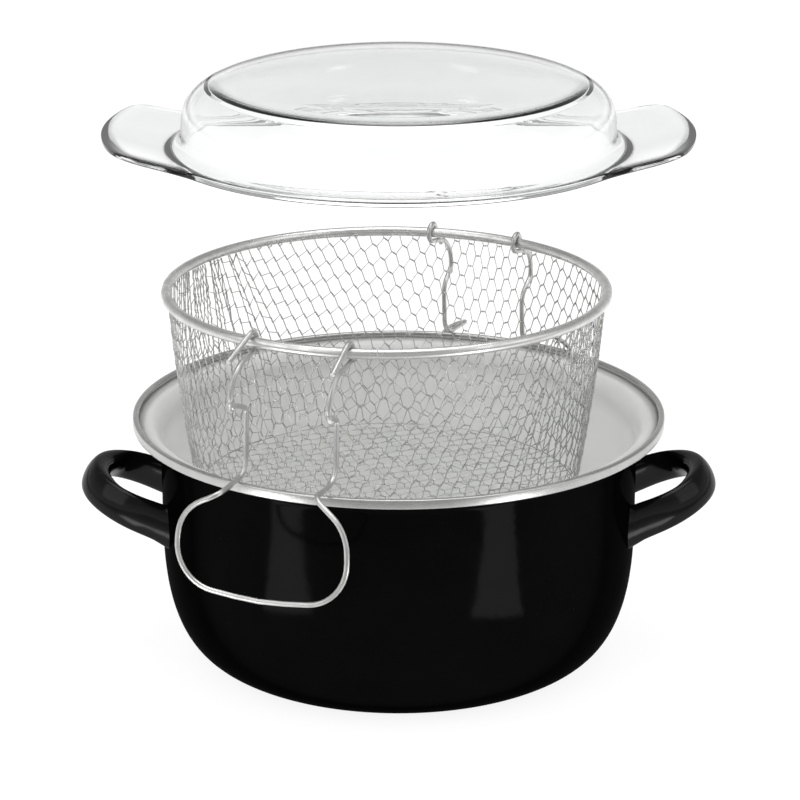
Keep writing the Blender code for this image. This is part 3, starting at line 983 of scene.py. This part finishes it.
def make_lid():
    """The section spun round, its flange drawn out to two rising ears."""
    bm = spun(lid_profile(), steps=240)
    for corner in bm.verts:
        out = math.hypot(corner.co.x, corner.co.y)
        if out < weld:
            continue
        azimuth = math.atan2(corner.co.y, corner.co.x)
        flange = max((out - ear_start) / (lid_radius - ear_start), 0)
        reach = ear_reach_at(azimuth)
        ear = (reach - lid_radius) / (ear_reach - lid_radius)
        out += flange * (reach - lid_radius)
        low_down = min(max((flange_drop_top - corner.co.z) / flange_drop_fade, 0), 1)
        corner.co = (out * math.cos(azimuth), out * math.sin(azimuth),
                     corner.co.z + flange ** ear_rise_power * ear * ear_height
                     - low_down * flange_drop)
    bmesh.ops.recalc_face_normals(bm, faces=bm.faces)
    bmesh.ops.translate(bm, vec=(0, 0, lid_height), verts=bm.verts)
    add_piece("pressed_glass_lid", shade(mesh_from(bm), degrees=50), "lid",
              "clear_glass", [clear_glass], "glass_lid")


# ---------------------------------------------------------------- studio

def seen_directly(finish):
    """1 for rays that show the background: direct ones, and those off metal and through
    glass."""
    camera, glossy, through = (finish.rays(kind) for kind in
                               ("Camera", "Glossy", "Transmission"))
    return camera.with_math("MAXIMUM", camera, glossy.with_math("MAXIMUM", glossy, through))


def make_floor():
    """A pale floor. Reflections see its front side dark, and glass shows that faintly."""
    bm = bmesh.new()
    bmesh.ops.create_grid(bm, x_segments=4, y_segments=4, size=6)
    bmesh.ops.translate(bm, vec=(0, 0, -0.0002), verts=bm.verts)
    floor = bpy.data.objects.new("floor", mesh_from(bm))
    bpy.context.scene.collection.objects.link(floor)
    made, finish = new_finish("pale_floor")
    to_camera = finish.rays("Camera")
    whiter = to_camera.with_math("MAXIMUM", to_camera, finish.rays("Transmission") * 0.7)
    shown = finish.node("ShaderNodeValToRGB", {"stops": ((0.50, 0.20), (0.86, 1))},
                        {0: finish.coordinate("Y") + 1})
    matt = finish.node("ShaderNodeBsdfDiffuse", {}, {"Color": (0.80, 0.80, 0.80, 1)})
    white = finish.node("ShaderNodeEmission", {}, {
        "Color": finish.blend(whiter, shown, (1, 1, 1, 1)), "Strength": 1.1})
    both = finish.node("ShaderNodeMixShader", {}, {
        0: seen_directly(finish) * 0.80, 1: matt, 2: white})
    finish.node("ShaderNodeOutputMaterial", {}, {"Surface": both})
    floor.data.materials.append(made)


def make_world():
    """White all round for the camera. Metal and glass reflect it dark along the horizon,
    white low down, greyer further up, with a white soft box overhead."""
    world = bpy.data.worlds.new("studio")
    world.use_nodes = True
    bpy.context.scene.world = world
    finish = Finish(world.node_tree)
    up = finish.coordinate("Z", finish.node("ShaderNodeTexCoord", output="Generated"))
    past_horizon = finish.rays("Transmission") * 0.09      # white there through glass
    room = finish.node("ShaderNodeValToRGB", {"stops": (
        (0.02, 0.20), (0.09, 1), (0.19, 0.60), (0.30, 0.60), (0.50, 0.32), (0.84, 0.34),
        (0.93, 1))}, {0: up.with_math("MAXIMUM", up, past_horizon)})
    soft = finish.node("ShaderNodeBackground", {}, {
        "Color": (1, 1, 1, 1), "Strength": 0.95})
    seen = finish.node("ShaderNodeBackground", {}, {
        "Color": finish.blend(finish.rays("Camera"), room, (1, 1, 1, 1)), "Strength": 1.0})
    both = finish.node("ShaderNodeMixShader", {}, {
        0: seen_directly(finish), 1: soft, 2: seen})
    finish.node("ShaderNodeOutputWorld", {}, {"Surface": both})


def make_lamp(name, place, target, width, height, strength):
    lamp = bpy.data.lights.new(name, "AREA")
    lamp.shape = "RECTANGLE"
    lamp.size, lamp.size_y = width, height
    lamp.energy = strength
    holder = bpy.data.objects.new(name, lamp)
    bpy.context.scene.collection.objects.link(holder)
    holder.location = place
    holder.rotation_euler = (Vector(target) - Vector(place)).to_track_quat("-Z", "Y") \
        .to_euler()
    return holder


def make_low_strip(name, place, heading):
    """A strip light just over the floor and out of the camera's sight, for a soft streak
    on the pot's wall."""
    outward = Vector((math.cos(heading), math.sin(heading), 0))
    middle = Vector((*place, 0.001))
    strip = make_lamp(name, middle, middle + Vector((0, 0, 1)), width=0.085, height=0.26,
                      strength=0.31)
    strip.rotation_euler = Matrix((outward.cross(Vector((0, 0, -1))), outward,
                                   Vector((0, 0, -1)))).transposed().to_euler()
    strip.visible_camera = False


def make_camera():
    """At the photograph's viewing angle."""
    lens = bpy.data.cameras.new("camera")
    lens.lens = 126
    lens.sensor_width = 36
    lens.clip_end = 50
    camera = bpy.data.objects.new("camera", lens)
    bpy.context.scene.collection.objects.link(camera)
    camera.location = (0.00066, -1.3530, 0.5823)
    camera.rotation_euler = (math.radians(90 - 18.453), 0, 0)
    bpy.context.scene.camera = camera


make_camera()
make_world()
make_floor()
for name, place, target, side, strength in (
        ("left_soft_box", (-1.5, -1.0, 1.4), (0, 0, 0.15), 1.8, 11),
        ("right_soft_box", (1.6, -0.7, 1.3), (0, 0, 0.15), 1.6, 7),
        ("top_soft_box", (0, 0.1, 2.0), (0, 0, 0.1), 1.6, 15)):
    make_lamp(name, place, target, side, side, strength)
make_low_strip("left_low_strip", (-0.259, -0.253), math.radians(215.5))
make_low_strip("right_low_strip", (0.232, -0.272), math.radians(-40.5))
bpy.context.scene.view_settings.view_transform = "Standard"

make_pot()
make_rim_band()
make_strap("right_strap_handle", "right_handle", 0)
make_strap("left_strap_handle", "left_handle", math.pi)
make_basket_rings()
make_netting()
make_wire_handle("front_bail", "front_wire_handle", "front_handle", front_azimuth,
                 handle_line(splay=0.0036, tail=(0.0200, 0.0046), kink=(0.0288, 0.0034),
                             uneven=(0.0060, 0.0025), bulge=0.0030))
make_wire_handle("rear_bail", "rear_wire_handle", "rear_handle", rear_azimuth,
                 handle_line(splay=0, tail=(0.0110, 0.0085), kink=(0.0330, 0.0090),
                             uneven=(0, 0)))
make_lid()
